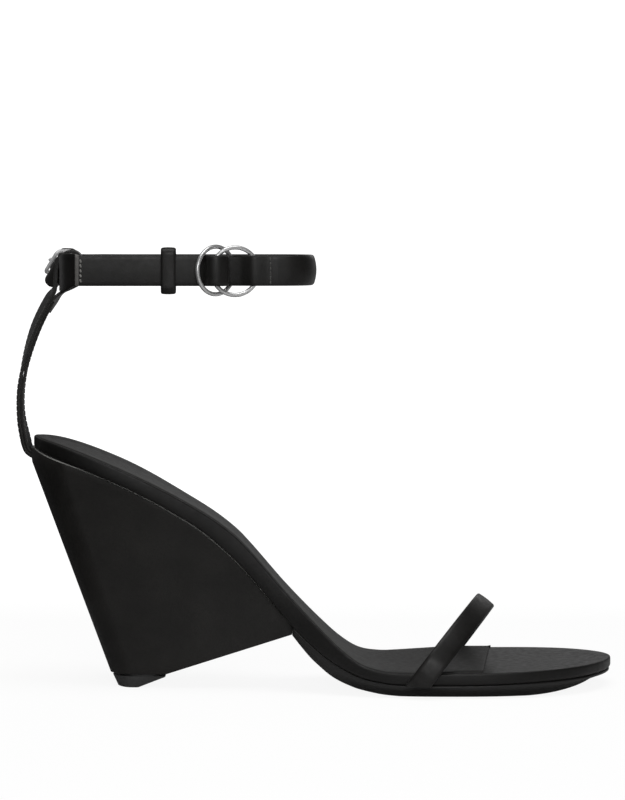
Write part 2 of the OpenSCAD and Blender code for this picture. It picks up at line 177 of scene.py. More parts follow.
# ------------------------------------------------------------------ mesh helpers
def make_object(name, verts, faces, material, smooth_shade=True, scale=MM):
    mesh = bpy.data.meshes.new(name)
    mesh.from_pydata([Vector(v) * scale for v in verts], [], faces)
    bm = bmesh.new()
    bm.from_mesh(mesh)
    bmesh.ops.remove_doubles(bm, verts=bm.verts, dist=2e-6)
    bmesh.ops.dissolve_degenerate(bm, edges=bm.edges, dist=1e-7)
    bmesh.ops.recalc_face_normals(bm, faces=bm.faces)
    bm.to_mesh(mesh)
    bm.free()
    mesh.update()
    if smooth_shade:
        shade_smooth(mesh)
    obj = bpy.data.objects.new(name, mesh)
    bpy.context.scene.collection.objects.link(obj)
    if material:
        mesh.materials.append(material)
    return obj


def shade_smooth(mesh):
    mesh.polygons.foreach_set("use_smooth", [True] * len(mesh.polygons))


def grid_faces(rows, cols, close_cols=False, close_rows=False, base=0):
    faces = []
    for i in range(rows if close_rows else rows - 1):
        for j in range(cols if close_cols else cols - 1):
            here, after = base + i * cols, base + ((i + 1) % rows) * cols
            k = (j + 1) % cols
            faces.append((here + j, here + k, after + k, after + j))
    return faces


def sharpen_edges(obj, degrees):
    """Mark edges bent by more than the angle as sharp."""
    bm = bmesh.new()
    bm.from_mesh(obj.data)
    for edge in bm.edges:
        bent = len(edge.link_faces) == 2 and edge.calc_face_angle(0) > math.radians(degrees)
        edge.smooth = not bent
    bm.to_mesh(obj.data)
    bm.free()


def apply_modifier(obj, kind, **settings):
    """Add a modifier and replace the object's mesh with the result."""
    modifier = obj.modifiers.new(kind.title(), kind)
    for key, value in settings.items():
        setattr(modifier, key, value)
    depsgraph = bpy.context.evaluated_depsgraph_get()
    depsgraph.update()
    mesh = bpy.data.meshes.new_from_object(obj.evaluated_get(depsgraph), depsgraph=depsgraph)
    old = obj.data
    obj.modifiers.clear()
    obj.data = mesh
    bpy.data.meshes.remove(old)
    mesh.name = obj.name


def bevel(obj, width, segments, degrees):
    apply_modifier(obj, "BEVEL", width=width * MM, segments=segments,
                   limit_method="ANGLE", angle_limit=math.radians(degrees))


def sweep(name, path, frames, section, material, closed=False):
    """Lay a closed section of (a, b) points along path.

    frames holds the unit vectors for a and b at each point of the path. The section is a list,
    or a function that gives the list from the point's index.
    """
    verts = []
    for i, (p, (across, out)) in enumerate(zip(path, frames)):
        ring = section(i) if callable(section) else section
        for a, b in ring:
            verts.append(tuple(p[k] + across[k] * a + out[k] * b for k in range(3)))
    rows, cols = len(path), len(ring)
    faces = grid_faces(rows, cols, close_cols=True, close_rows=closed)
    if not closed:
        faces.append(tuple(range(cols)))
        faces.append(tuple(range(rows * cols - 1, (rows - 1) * cols - 1, -1)))
    return make_object(name, verts, faces, material)


def strip_section(width, thick, radius, crown=0.0, flat_steps=8, shift_out=0.0,
                  shift_across=0.0):
    """Section of a strap: a runs across its width, b outwards through its thickness.
    Both faces bulge outwards by about crown, and the corners are rounded."""
    half, corner_steps = width / 2, 4
    inner_crown = crown * 0.85
    points = []

    def flat(side, bulge, first):
        for k in range(first, flat_steps + 1):
            a = side * (-half + radius + (width - 2 * radius) * k / flat_steps)
            points.append((a, side * thick / 2 + bulge * (1 - (a / half) ** 2)))

    def corner(side_a, side_b, start, first, last):
        for k in range(first, last + 1):
            turn = start - math.pi / 2 * k / corner_steps
            points.append((side_a * (half - radius) + radius * math.cos(turn),
                           side_b * (thick / 2 - radius) + radius * math.sin(turn)))

    flat(1, crown, 0)
    corner(1, 1, math.pi / 2, 1, corner_steps)
    corner(1, -1, 0.0, 0, corner_steps)
    flat(-1, inner_crown, 1)
    corner(-1, -1, -math.pi / 2, 1, corner_steps)
    corner(-1, 1, math.pi, 0, corner_steps - 1)
    return [(a + shift_across, b + shift_out) for a, b in points]


def piece(obj, body, slot, *nodes):
    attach(obj, body)
    if nodes:
        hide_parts(*nodes)


# ------------------------------------------------------------------ shader helpers
def empty_tree(owner):
    owner.use_nodes = True
    owner.node_tree.nodes.clear()
    return owner.node_tree


def feed(tree, node, inputs):
    """Set each input to a value, or link it when given another node's output."""
    for key, value in inputs.items():
        if isinstance(value, bpy.types.NodeSocket):
            tree.links.new(value, node.inputs[key])
        else:
            node.inputs[key].default_value = value


def add_node(tree, kind, inputs=None, **settings):
    node = tree.nodes.new(kind)
    for key, value in settings.items():
        setattr(node, key, value)
    feed(tree, node, inputs or {})
    return node


def surface_material(name):
    """New material with a Principled shader on its surface."""
    material = bpy.data.materials.new(name)
    tree = empty_tree(material)
    output = add_node(tree, "ShaderNodeOutputMaterial")
    shader = add_node(tree, "ShaderNodeBsdfPrincipled")
    feed(tree, output, {"Surface": shader.outputs["BSDF"]})
    return material, tree, shader


def object_coords(tree, scale=(1, 1, 1)):
    coords = add_node(tree, "ShaderNodeTexCoord")
    mapped = add_node(tree, "ShaderNodeMapping",
                      {"Scale": scale, "Vector": coords.outputs["Object"]})
    return mapped.outputs["Vector"]


def noise(tree, coords, scale, detail=2):
    texture = add_node(tree, "ShaderNodeTexNoise",
                       {"Scale": scale, "Detail": detail, "Vector": coords})
    return texture.outputs["Fac"]


def ramp(tree, factor, stops):
    """Colour ramp; stops are (position, grey level or RGB)."""
    node = add_node(tree, "ShaderNodeValToRGB", {"Fac": factor})
    elements = node.color_ramp.elements
    while len(elements) < len(stops):
        elements.new(0.5)
    for element, (position, color) in zip(elements, stops):
        element.position = position
        grey = isinstance(color, (int, float))
        element.color = (color, color, color, 1) if grey else (*color, 1)
    return node.outputs["Color"]


def bump(tree, height, strength, distance, normal=None):
    node = add_node(tree, "ShaderNodeBump",
                    {"Strength": strength, "Distance": distance, "Height": height})
    if normal is not None:
        feed(tree, node, {"Normal": normal})
    return node.outputs["Normal"]


def map_range(tree, value, from_min, from_max, to_min=0.0, to_max=1.0):
    node = add_node(tree, "ShaderNodeMapRange", {
        "Value": value, "From Min": from_min, "From Max": from_max,
        "To Min": to_min, "To Max": to_max})
    return node.outputs["Result"]


def mix_shaders(tree, factor, first, second):
    node = add_node(tree, "ShaderNodeMixShader",
                    {0: factor, 1: first.outputs[0], 2: second.outputs[0]})
    return node


def scaled(color, factor):
    return tuple(c * factor for c in color)


# ------------------------------------------------------------------ materials
def leather(name, shade, rough, grain, coat=0.0, sheen=0.0, grain_scale=2200,
            tint=(1.0, 0.945, 0.88)):
    """Leather of a grey level times tint, with darker pores and cloudy variation."""
    spread = 0.25  # how far the clouds lie from the mean shade
    material, tree, shader = surface_material(name)
    coords = object_coords(tree)
    pebbles = add_node(tree, "ShaderNodeTexVoronoi", {"Scale": grain_scale, "Vector": coords},
                       feature="DISTANCE_TO_EDGE")
    fine = noise(tree, coords, scale=grain_scale * 0.6, detail=3)
    pores = ramp(tree, pebbles.outputs["Distance"], [(0.0, 0.0), (0.16, 0.85), (0.6, 1.0)])
    broad = noise(tree, coords, scale=60, detail=4)
    uneven = noise(tree, coords, scale=420, detail=5)
    clouds = ramp(tree, broad, [
        (0.3, tuple(shade * (1 - spread) * c for c in tint)),
        (0.7, tuple(shade * (1 + spread) * c for c in tint))])
    color = add_node(tree, "ShaderNodeMix", {"Factor": 0.35, "A": clouds, "B": pores},
                     data_type="RGBA", blend_type="MULTIPLY")
    # Worn and matt patches
    roughness = ramp(tree, uneven, [(0.3, rough - 0.06), (0.72, rough + 0.08)])
    # Pores weighted 0.7 over the fine noise, then a softer unevenness
    relief = add_node(tree, "ShaderNodeMath", {0: pores, 1: 0.7, 2: fine},
                      operation="MULTIPLY_ADD")
    grained = bump(tree, relief.outputs["Value"], strength=0.35 * grain, distance=0.00005)
    feed(tree, shader, {
        "Base Color": color.outputs["Result"],
        "Roughness": roughness,
        "Normal": bump(tree, uneven, strength=0.25, distance=0.00018, normal=grained),
        "Specular IOR Level": 0.32,
        "Sheen Weight": sheen,
        "Sheen Roughness": 0.4,
        "Coat Weight": coat,
        "Coat Roughness": 0.25})
    return material


def metal(name, grey, rough, brush=900, metallic=1.0):
    """Brushed metal; brush is the scale of the fine marks."""
    material, tree, shader = surface_material(name)
    # Squeezing the texture along z draws the marks out round the piece
    coords = object_coords(tree, scale=(1, 1, 6))
    marks = noise(tree, coords, scale=brush, detail=4)
    patches = noise(tree, coords, scale=180)
    feed(tree, shader, {
        "Metallic": metallic,
        "Base Color": ramp(tree, patches, [(0.3, grey * 0.9), (0.7, grey)]),
        "Roughness": ramp(tree, marks, [(0.3, rough - 0.07), (0.7, rough + 0.1)]),
        "Normal": bump(tree, marks, strength=0.15, distance=0.00003)})
    return material


def plain(name, color, rough, scale, strength, spread=0.12):
    """Rubber, board or foam: one noise drives colour, roughness and bump."""
    material, tree, shader = surface_material(name)
    speckle = noise(tree, object_coords(tree), scale=scale, detail=6)
    feed(tree, shader, {
        "Base Color": ramp(tree, speckle, [(0.3, scaled(color, 1 - spread)),
                                           (0.7, scaled(color, 1 + spread))]),
        "Roughness": ramp(tree, speckle, [(0.3, rough - 0.05), (0.7, rough + 0.07)]),
        "Normal": bump(tree, speckle, strength=strength, distance=0.0001)})
    return material


def thread(name, brightness=1.0):
    """Twisted thread with diagonal bands."""
    material, tree, shader = surface_material(name)
    twist = add_node(tree, "ShaderNodeTexWave",
                     {"Scale": 1800, "Distortion": 1.5, "Vector": object_coords(tree)},
                     wave_type="BANDS", bands_direction="DIAGONAL").outputs["Fac"]
    feed(tree, shader, {
        "Base Color": ramp(tree, twist, [(0.2, scaled((0.035, 0.034, 0.032), brightness)),
                                         (0.8, scaled((0.12, 0.117, 0.11), brightness))]),
        "Roughness": 0.6,
        "Sheen Weight": 0.4,
        "Normal": bump(tree, twist, strength=0.6, distance=0.00005)})
    return material


UPPER = leather("leather_upper", 0.013, rough=0.42, grain=0.8, coat=0.04, sheen=0.05)
WEDGE = leather("leather_wedge", 0.0245, rough=0.44, grain=0.7, coat=0.02, sheen=0.03)
RIM = leather("leather_rim", 0.0085, rough=0.45, grain=0.7, coat=0.02, sheen=0.02)
SOCK = leather("leather_sock", 0.014, rough=0.6, grain=1.0, sheen=0.1, grain_scale=2600)
LINING = leather("leather_lining", 0.014, rough=0.58, grain=0.8, sheen=0.05)
# Pale leather: the cut ends' own colour on the ankle straps, and a painted highlight on the
# heel strap's rounded corners
CUT_EDGE_AND_HIGHLIGHT = leather("leather_cut_edge_and_painted_highlight", 0.085, rough=0.7, grain=0.6, tint=(1.0, 0.95, 0.88))
RAW_EDGE = leather("leather_raw_edge", 0.2, rough=0.7, grain=0.6, tint=(1.0, 0.97, 0.93))
SOLE = plain("outsole_rubber", (0.011, 0.0105, 0.01), rough=0.45, scale=900, strength=0.25)
TOP_PIECE = plain("top_piece_rubber", (0.06, 0.06, 0.06), rough=0.4, scale=1200, strength=0.3)
HARDWARE = metal("silver_hardware", 0.84, rough=0.34, metallic=0.78)
# Painted reflection: the buckle is near-white and almost non-metallic, so its own colour shows
# as bright as the silver's reflections
BUCKLE_PAINTED_SHINE = metal("silver_buckle_painted_shine", 0.97, rough=0.33, metallic=0.05)
STEEL = metal("plain_steel", 0.6, rough=0.35, brush=500)
BOARD = plain("fibreboard", (0.38, 0.26, 0.15), rough=0.85, scale=1400, strength=0.6,
              spread=0.25)
FOAM = plain("latex_foam", (0.6, 0.55, 0.36), rough=0.9, scale=2500, strength=0.8, spread=0.1)
CORE = plain("heel_core", (0.55, 0.55, 0.53), rough=0.5, scale=700, strength=0.2, spread=0.05)
THREAD = thread("sewing_thread")
THREAD_PALE = thread("sewing_thread_pale", brightness=3.6)

# CAD pieces that are kept as they are
KEPT_PIECES = {
    "insole_board": BOARD, "shank": STEEL, "shank_rivets": STEEL, "footbed_foam": FOAM,
    "wedge_core": CORE, "heel_screw": STEEL, "heel_nails": STEEL, "top_piece_pins": STEEL}


def dress_kept_pieces():
    for name, material in KEPT_PIECES.items():
        materials = NODES[name].data.materials
        materials.clear()
        materials.append(material)


# ------------------------------------------------------------------ footbed and sole slabs
SOCK_CUT_LATERAL = 134.4  # x of the sock's slanted front cut on either side
SOCK_CUT_MEDIAL = 141.2
SOLE_START = 63.0  # x of the outsole's rear end


def top(offset):
    return lambda x: height_at(TOP_LINE, x) + offset


def under(offset):
    return lambda x: height_at(UNDER_LINE, x) + offset


def ground(offset):
    return lambda x: height_at(GROUND_LINE, x) + offset


def waist_drop(x, y):
    """The inner side of the waist lies a little lower than the outer side."""
    return 1.0 * smooth((x + 5) / 30) * (1 - smooth((x - 78) / 26)) * smooth((y + 8) / 24)


def slab_side(half, turn, profile, rows, end_normals):
    """The profile laid at each row of a half outline; turn * left is inwards."""
    half = resample(half, count=rows)
    side = []
    for i, (point, left) in enumerate(zip(half, left_normals(half))):
        if i in (0, rows - 1):
            inward = end_normals[0 if i == 0 else 1]
        else:
            inward = (turn * left[0], turn * left[1])
        row = []
        for inset, level in profile:
            inset = inset(point[0]) if callable(inset) else inset
            x, y = point[0] + inward[0] * inset, point[1] + inward[1] * inset
            row.append((x, y, level(x) - waist_drop(x, y)))
        side.append(row)
    return side


def slab(name, profile, material, lateral=LATERAL, medial=MEDIAL, rows=150, dish=None,
         end_normals=((1, 0), (-1, 0)), cap_start=False, cap_end=False):
    """Loft between the two half outlines.

    profile: (inset, height function) from the top round the side to the bottom. Each row runs
    up the lateral side, across the top, down the medial side and back along the bottom.
    dish gives the depth at x to which the top is hollowed.
    """
    across = 14
    verts = []
    for lat, med in zip(slab_side(lateral, 1, profile, rows, end_normals),
                        slab_side(medial, -1, profile, rows, end_normals)):
        steps = [k / across for k in range(1, across)]
        upper = [lerp_point(lat[0], med[0], u) for u in steps]
        lower = [lerp_point(med[-1], lat[-1], u) for u in steps]
        if dish:
            # Narrow rows are hollowed less
            fade = min(1.0, abs(med[0][1] - lat[0][1]) / 30)
            for u, point in zip(steps, upper):
                point[2] -= dish(point[0]) * (1 - (2 * u - 1) ** 2) ** 1.5 * fade
        row = lat[::-1] + upper + med + lower
        verts += row
    cols = len(row)
    faces = grid_faces(rows, cols, close_cols=True)
    if cap_start:
        faces.append(tuple(range(cols)))
    if cap_end:
        faces.append(tuple(range((rows - 1) * cols, rows * cols)))
    return make_object(name, verts, faces, material)


def cut_half(half, start=None, end=None):
    """The part of a half outline between two x values, with the cut points worked out."""
    out = [] if start is not None else [list(half[0])]
    for a, b in zip(half, half[1:]):
        for limit in (start, end):
            if limit is not None and (a[0] - limit) * (b[0] - limit) < 0:
                t = (limit - a[0]) / (b[0] - a[0])
                out.append([limit, a[1] + (b[1] - a[1]) * t])
        if (start is None or b[0] >= start) and (end is None or b[0] <= end):
            out.append(list(b))
    return out


def build_footbed_wrap():
    wrap = slab("footbed_wrap", [
        (6.0, top(-0.12)), (2.6, top(-0.06)), (1.2, top(-0.02)), (0.62, top(-0.05)),
        (0.34, top(-0.14)), (0.14, top(-0.32)), (0.04, top(-0.6)), (0.0, top(-0.95)),
        (0.0, lambda x: 0.5 * (height_at(TOP_LINE, x) + height_at(UNDER_LINE, x))),
        (0.0, under(1.2)), (0.14, under(0.65)), (0.45, under(0.25)), (0.95, under(0.05)),
        (1.6, under(0.0)), (8.0, under(0.0))], RIM, rows=190, dish=lambda x: 0.5)
    piece(wrap, "shoe", "upper_leather", "footbed_cover")


def sock_top(offset):
    """The sock's pad is a little fuller under the toes."""
    return lambda x: height_at(TOP_LINE, x) + offset * (1 + 1.1 * smooth((x - 112) / 18))


def trim_sock(sock):
    """Pull in the tip that the bevel leaves at the pointed corner of the front cut."""
    margin = 1.12
    ceiling = sock_top(0.4)
    for vert in sock.data.vertices:
        x = vert.co.x / MM
        if vert.co.y > 0:
            limit = max([0] + [
                abs(a[1] + (b[1] - a[1]) * (x - a[0]) / (b[0] - a[0])) - margin
                for a, b in zip(MEDIAL, MEDIAL[1:])
                if min(a[0], b[0]) <= x <= max(a[0], b[0]) and a[0] != b[0]])
            if limit:
                vert.co.y = min(vert.co.y, MM * limit)
        vert.co.z = min(vert.co.z, MM * ceiling(x))


def build_sock():
    """Padded sock, hollowed more deeply at the heel."""
    sock = slab("sock", [
        (5.0, sock_top(0.38)), (2.6, sock_top(0.35)), (1.75, sock_top(0.26)),
        (1.35, sock_top(0.13)), (1.18, top(-0.02)), (1.14, top(-0.14)), (4.0, top(-0.14))],
        SOCK, lateral=cut_half(LATERAL, end=SOCK_CUT_LATERAL),
        medial=cut_half(MEDIAL, end=SOCK_CUT_MEDIAL), end_normals=((1, 0), (0, 1)),
        cap_end=True, dish=lambda x: 0.5 + 0.7 * smooth((40 - x) / 60))
    bevel(sock, width=0.25, segments=2, degrees=50)
    trim_sock(sock)
    piece(sock, "shoe", "lining_leather", "sock_lining")


def sole_inset(inset):
    """Inset that changes over the first stretch from the outsole's rear end."""
    def at(x):
        return (inset * (0.5 + 0.5 * smooth((x - SOLE_START) / 30))
                + 0.9 * (1 - smooth((x - SOLE_START) / 25)))
    return at


def sole_mid(x):
    """Halfway between the edges above and below the outsole's slanted side."""
    return 0.5 * (height_at(UNDER_LINE, x) - 1.1 + height_at(GROUND_LINE, x) + 0.45)


def build_outsole():
    profile = [
        (3.0, under(-0.06)), (1.0, under(-0.06)), (0.62, under(-0.22)), (0.5, under(-0.6)),
        (0.62, under(-1.1)), (3.0, sole_mid), (5.3, ground(0.42)), (5.75, ground(0.14)),
        (6.5, ground(0.0)), (9.0, ground(0.0))]
    sole = slab("outsole_body", [(sole_inset(inset), level) for inset, level in profile], SOLE,
                lateral=cut_half(LATERAL, start=SOLE_START),
                medial=cut_half(MEDIAL, start=SOLE_START),
                end_normals=((0, 1), (-1, 0)), cap_start=True)
    piece(sole, "shoe", "sole", "outsole")


# ------------------------------------------------------------------ wedge
# Lower edge in side view, (x, z): level at the heel, then rising to the front tip
WEDGE_BOTTOM_Z = 5.3
WEDGE_KINK = (14.8, WEDGE_BOTTOM_Z)
WEDGE_TIP = (62.9, 21.2)
WEDGE_BACK_LIMIT = -37.58  # the skin goes no further back than this x
WEDGE_OVERHANG = 1.2  # how far the skin may stand outside the footbed's outline
ARC_COLUMNS, SIDE_COLUMNS, WEDGE_ROWS = 30, 46, 30


def wedge_half_width(x, z):
    return 7.9 + 0.19 * z + 0.06 * x


def wedge_top_z(x):
    """Height of the wedge's upper edge, a small gap below the footbed."""
    return height_at(UNDER_LINE, x) - (0.35 + 0.55 * smooth((x + 34) / 50))


def outset_half(half, side, distance):
    """A half outline moved outwards; side is its sign in y."""
    points = resample(half, count=240)
    out = [[x + side * nx * distance, y + side * ny * distance]
           for (x, y), (nx, ny) in zip(points, left_normals(points))]
    out[0] = [points[0][0] - distance, 0.0]
    return out


def wedge_columns(half, side):
    """Columns from the lower edge up to the rim, from the back centre to the front tip."""
    guard = outset_half(half, side, WEDGE_OVERHANG)

    def clip(x, y, z):
        x = max(x, WEDGE_BACK_LIMIT)
        return x, side * min(abs(y), abs(height_at(guard, x))), z

    def arc_point(turn, z):
        """Point on the elliptical back of the wedge."""
        back_x, depth = -5.05 - 0.373 * z, 9 + 0.06 * z
        width = wedge_half_width(back_x + depth, z)
        return clip(back_x + depth - depth * math.cos(turn), width * math.sin(turn), z)

    columns = []
    for i in range(ARC_COLUMNS):
        turn = math.pi / 2 * i / (ARC_COLUMNS - 1)
        top_z = 80.0
        # The upper edge depends on x, which depends on z: settle on both
        for _ in range(12):
            top_z = 0.5 * top_z + 0.5 * wedge_top_z(arc_point(turn, top_z)[0])
        columns.append([
            arc_point(turn, WEDGE_BOTTOM_Z + (top_z - WEDGE_BOTTOM_Z) * k / (WEDGE_ROWS - 1))
            for k in range(WEDGE_ROWS)])

    samples, top_steps = 400, 300
    bottom_x, top_x = columns[-1][0][0], columns[-1][-1][0]
    top_xs = [top_x + (WEDGE_TIP[0] - top_x) * k / top_steps for k in range(top_steps + 1)]
    top_line = resample([(x, wedge_top_z(x)) for x in top_xs], count=samples)
    bottom_line = resample([(bottom_x, WEDGE_BOTTOM_Z), WEDGE_KINK, WEDGE_TIP], count=samples)
    for i in range(1, SIDE_COLUMNS):
        nearest = round((samples - 1) * i / (SIDE_COLUMNS - 1))
        column = []
        for k in range(WEDGE_ROWS):
            x, z = lerp_point(bottom_line[nearest], top_line[nearest], k / (WEDGE_ROWS - 1))
            column.append(clip(x, wedge_half_width(x, z), z))
        columns.append(column)
    return columns


def soften(obj, width, bevel_degrees, sharp_degrees):
    """Bevel the corners and shade smoothly, keeping the sharpest edges."""
    bevel(obj, width=width, segments=3, degrees=bevel_degrees)
    shade_smooth(obj.data)
    sharpen_edges(obj, sharp_degrees)


def build_wedge():
    lateral, medial = wedge_columns(LATERAL, -1), wedge_columns(MEDIAL, 1)
    ring = lateral[::-1] + medial[1:]
    n, rows = len(ring), WEDGE_ROWS
    verts = [column[j] for j in range(rows) for column in ring]
    faces = grid_faces(rows, n)
    # Underside and lid join the lateral and medial edges
    for base in (0, (rows - 1) * n):
        for i in range(len(lateral) - 1):
            a, b = base + i, base + i + 1
            c, d = base + n - 2 - i, base + n - 1 - i
            faces.append((a, b, c, d) if b != c else (a, b, d))
    # Narrow face at the front edge
    for j in range(rows - 1):
        here, above = j * n, (j + 1) * n
        faces.append((here, above, above + n - 1, here + n - 1))
    wedge = make_object("wedge_skin", verts, faces, WEDGE)
    soften(wedge, width=0.4, bevel_degrees=38, sharp_degrees=50)
    piece(wedge, "shoe", "wedge_leather", "wedge_cover")


# ------------------------------------------------------------------ top piece
LIFT_BACK_X = -6.1
LIFT_LENGTH = 20.4
LIFT_RADIUS = 8.7  # of the round back, and half the width
LIFT_TOP_Z = 4.35
LIFT_SLOPE_X = 3.9  # in front of this the underside rises
LIFT_SLOPE_RISE = 4.0


def lift_ring(x, points=17):
    """Section across the lift at x: its top edge, then the underside back."""
    centre_x = LIFT_BACK_X + LIFT_RADIUS
    half = LIFT_RADIUS
    if x < centre_x:
        half = math.sqrt(max(0.0, LIFT_RADIUS ** 2 - (centre_x - x) ** 2))
    slope_length = LIFT_BACK_X + LIFT_LENGTH - LIFT_SLOPE_X
    under_z = 0.0
    if x >= LIFT_SLOPE_X:
        under_z = (x - LIFT_SLOPE_X) * LIFT_SLOPE_RISE / slope_length
    # The underside is smaller at the back and the sides
    under_x = x + 2.0 * (1 - smooth((x - LIFT_BACK_X) / 8))
    under_half = half - 0.9 * min(1, half / 3)
    across = [-1 + 2 * k / (points - 1) for k in range(points)]
    return ([(x, half * u, LIFT_TOP_Z) for u in across]
            + [(under_x, under_half * -u, under_z) for u in across])


def neck_ring(z, centre_x=3.4, half=7.6, back=6.6, front=9.8):
    """D-shaped ring: an elliptical back and a squarer front."""
    ring = []
    for k in range(40):
        if k <= 20:
            turn = math.pi / 2 + math.pi * k / 20
            ring.append((centre_x + back * math.cos(turn), half * math.sin(turn), z))
        else:
            turn = math.pi * ((k - 20) / 20)
            ring.append((centre_x + front * math.sin(turn) ** 0.25,
                         -half * math.cos(turn), z))
    return ring


def build_top_piece():
    rings = [lift_ring(LIFT_BACK_X + LIFT_LENGTH * (1 - math.cos(math.pi / 2 * i / 30)))
             for i in range(31)]
    rows, cols = len(rings), len(rings[0])
    verts = [v for ring in rings for v in ring]
    faces = grid_faces(rows, cols, close_cols=True)
    faces.append(tuple(range(cols)))
    faces.append(tuple(range((rows - 1) * cols, rows * cols)))
    # Neck up to the wedge, set back so that a joint line shows
    base = len(verts)
    verts += neck_ring(4.3) + neck_ring(5.32)
    faces += grid_faces(2, 40, close_cols=True, base=base)
    faces.append(tuple(range(base, base + 40)))
    faces.append(tuple(range(base + 40, base + 80)))
    lift = make_object("top_piece_lift", verts, faces, TOP_PIECE)
    soften(lift, width=0.35, bevel_degrees=40, sharp_degrees=45)
    piece(lift, "shoe", "heel_rubber", "top_piece")


# ------------------------------------------------------------------ toe strap
def rotation(axis, degrees):
    return Matrix.Rotation(math.radians(degrees), 3, axis)


# The arch lies in its own plane: stood upright, leaned, and turned across the foot.
ARCH_ROTATION = rotation("Z", 81.2) @ rotation("X", 90) @ rotation("X", 37)
ARCH_ORIGIN = Vector((110.2, -39.15, 5))
ARCH_CUT_Z = 4.6  # the strap's ends are cut level here
# (across the foot, up) in the arch's plane, lateral end first
ARCH = [
    (1.8, -1.2), (0.6, -0.6), (0.02, 1.0), (0.0, 3.2), (0.1, 6.4), (1.75, 12.2), (7.8, 20.5),
    (18.8, 28.1), (31, 31.9), (42, 32.4), (54, 30.3), (65.5, 24.4), (73.0, 16), (76.7, 9),
    (77.35, 5), (77.4, 2.5), (76.8, 0.4), (75.4, -0.8)]


def toe_band(name, thick, offset, width, crown, material):
    """One layer of the toe strap; offset is its distance outside the arch."""
    points = resample(spline(ARCH, 10), step=0.9)
    across = ARCH_ROTATION @ Vector((0, 0, 1))
    path, frames = [], []
    for (x, y), (nx, ny) in zip(points, left_normals(points)):
        path.append(ARCH_ORIGIN + ARCH_ROTATION @ Vector((x + nx * offset, y + ny * offset, 0)))
        frames.append((across, ARCH_ROTATION @ Vector((nx, ny, 0))))
    section = strip_section(width, thick, radius=thick * 0.46, crown=crown)
    band = sweep(name, path, frames, section, material)
    bm = bmesh.new()
    bm.from_mesh(band.data)
    geometry = bm.verts[:] + bm.edges[:] + bm.faces[:]
    result = bmesh.ops.bisect_plane(bm, geom=geometry, plane_co=(0, 0, ARCH_CUT_Z * MM),
                                    plane_no=(0, 0, 1), clear_inner=True)
    rim = [e for e in result["geom_cut"] if isinstance(e, bmesh.types.BMEdge)]
    bmesh.ops.edgeloop_fill(bm, edges=rim)
    bmesh.ops.recalc_face_normals(bm, faces=bm.faces)
    bm.to_mesh(band.data)
    bm.free()
    return band


def build_toe_strap():
    band = toe_band("toe_strap_leather", thick=1.35, offset=1.72, width=8.0, crown=0.28,
                    material=UPPER)
    piece(band, "shoe", "upper_leather", "toe_strap")
    band = toe_band("toe_strap_backing", thick=1.0, offset=0.55, width=7.5, crown=0.1,
                    material=LINING)
    piece(band, "shoe", "lining_leather", "toe_strap_lining")


# ------------------------------------------------------------------ stitches
def capsule(start, end, radius, flat, flat_dir, sides=8, rings=3):
    """Round-ended stitch, squashed to flat of its radius along flat_dir."""
    start, end, flat_dir = Vector(start), Vector(end), Vector(flat_dir)
    axis = (end - start).normalized()
    thin = (flat_dir - axis * axis.dot(flat_dir)).normalized()
    wide = axis.cross(thin)
    profile = []  # (centre, distance along the axis, distance from it)
    for k in range(rings + 1):
        turn = math.pi / 2 * k / rings
        profile.append((start, -math.cos(turn), math.sin(turn)))
    for k in range(rings + 1):
        turn = math.pi / 2 * (rings - k) / rings
        profile.append((end, math.cos(turn), math.sin(turn)))
    verts = []
    for point, along, reach in profile:
        centre = point + axis * (along * radius)
        for s in range(sides):
            turn = 2 * math.pi * s / sides
            verts.append(tuple(centre + thin * (reach * radius * flat * math.cos(turn))
                               + wide * (reach * radius * math.sin(turn))))
    return verts, grid_faces(len(profile), sides, close_cols=True)


def stitches(name, seams, radius, flat, material=THREAD):
    """seams: (start, end, direction in which the stitch is flattened)."""
    verts, faces = [], []
    for start, end, flat_dir in seams:
        new_verts, new_faces = capsule(start, end, radius, flat, flat_dir)
        faces += [tuple(len(verts) + k for k in face) for face in new_faces]
        verts += new_verts
    return make_object(name, verts, faces, material)


# ------------------------------------------------------------------ heel strap
# (x, z) up the back of the heel
RISER = [
    (-33.0, 88.2), (-36.0, 88.9), (-38.3, 90.4), (-39.3, 92.6), (-40.0, 95.6), (-41.2, 101.4),
    (-41.7, 107.6), (-41.5, 113.8), (-40.6, 119.9), (-39.3, 126.1), (-37.6, 132.2),
    (-35.4, 138.4), (-32.7, 144.2), (-30.4, 148.4)]
# (x, z) on round the loop that holds the ankle strap
EYE = [
    (-28.3, 152), (-27.6, 155.6), (-27.4, 159.2), (-26.7, 162), (-25.4, 164.2), (-23.9, 165.6),
    (-22.2, 166.15), (-20.6, 165.9), (-19.2, 164.4), (-18.6, 161), (-18.8, 157.2),
    (-19.9, 154.8), (-22.4, 153.3), (-25, 152.2), (-26.9, 150.9), (-28.3, 149.3),
    (-29.33, 147.6), (-30.47, 145.55), (-31.6, 143.5)]
OUTER_LINE = resample(spline(RISER + EYE, 10), step=0.8)
INNER_LINE = resample(spline(RISER, 10), step=0.8)


def riser_twist(z):
    """Degrees the riser is turned about its length at height z."""
    return -8 * (1 - smooth((z - 92) / 16)) + 2 + 15.5 * smooth((z - 112) / 30)


def side_path(points, offset, twists):
    """Path and frames in the x-z plane, moved by offset along the twisted left normal."""
    path, frames = [], []
    sideways = Vector((0, 1, 0))
    for (x, z), (nx, nz), twist in zip(points, left_normals(points), twists):
        normal, turn = Vector((nx, 0, nz)), math.radians(twist)
        across = sideways * math.cos(turn) + normal * math.sin(turn)
        out = normal * math.cos(turn) - sideways * math.sin(turn)
        path.append(Vector((x, 0, z)) + out * offset)
        frames.append((across, out))
    return path, frames


def riser_path(points, offset):
    return side_path(points, offset, [riser_twist(z) for x, z in points])


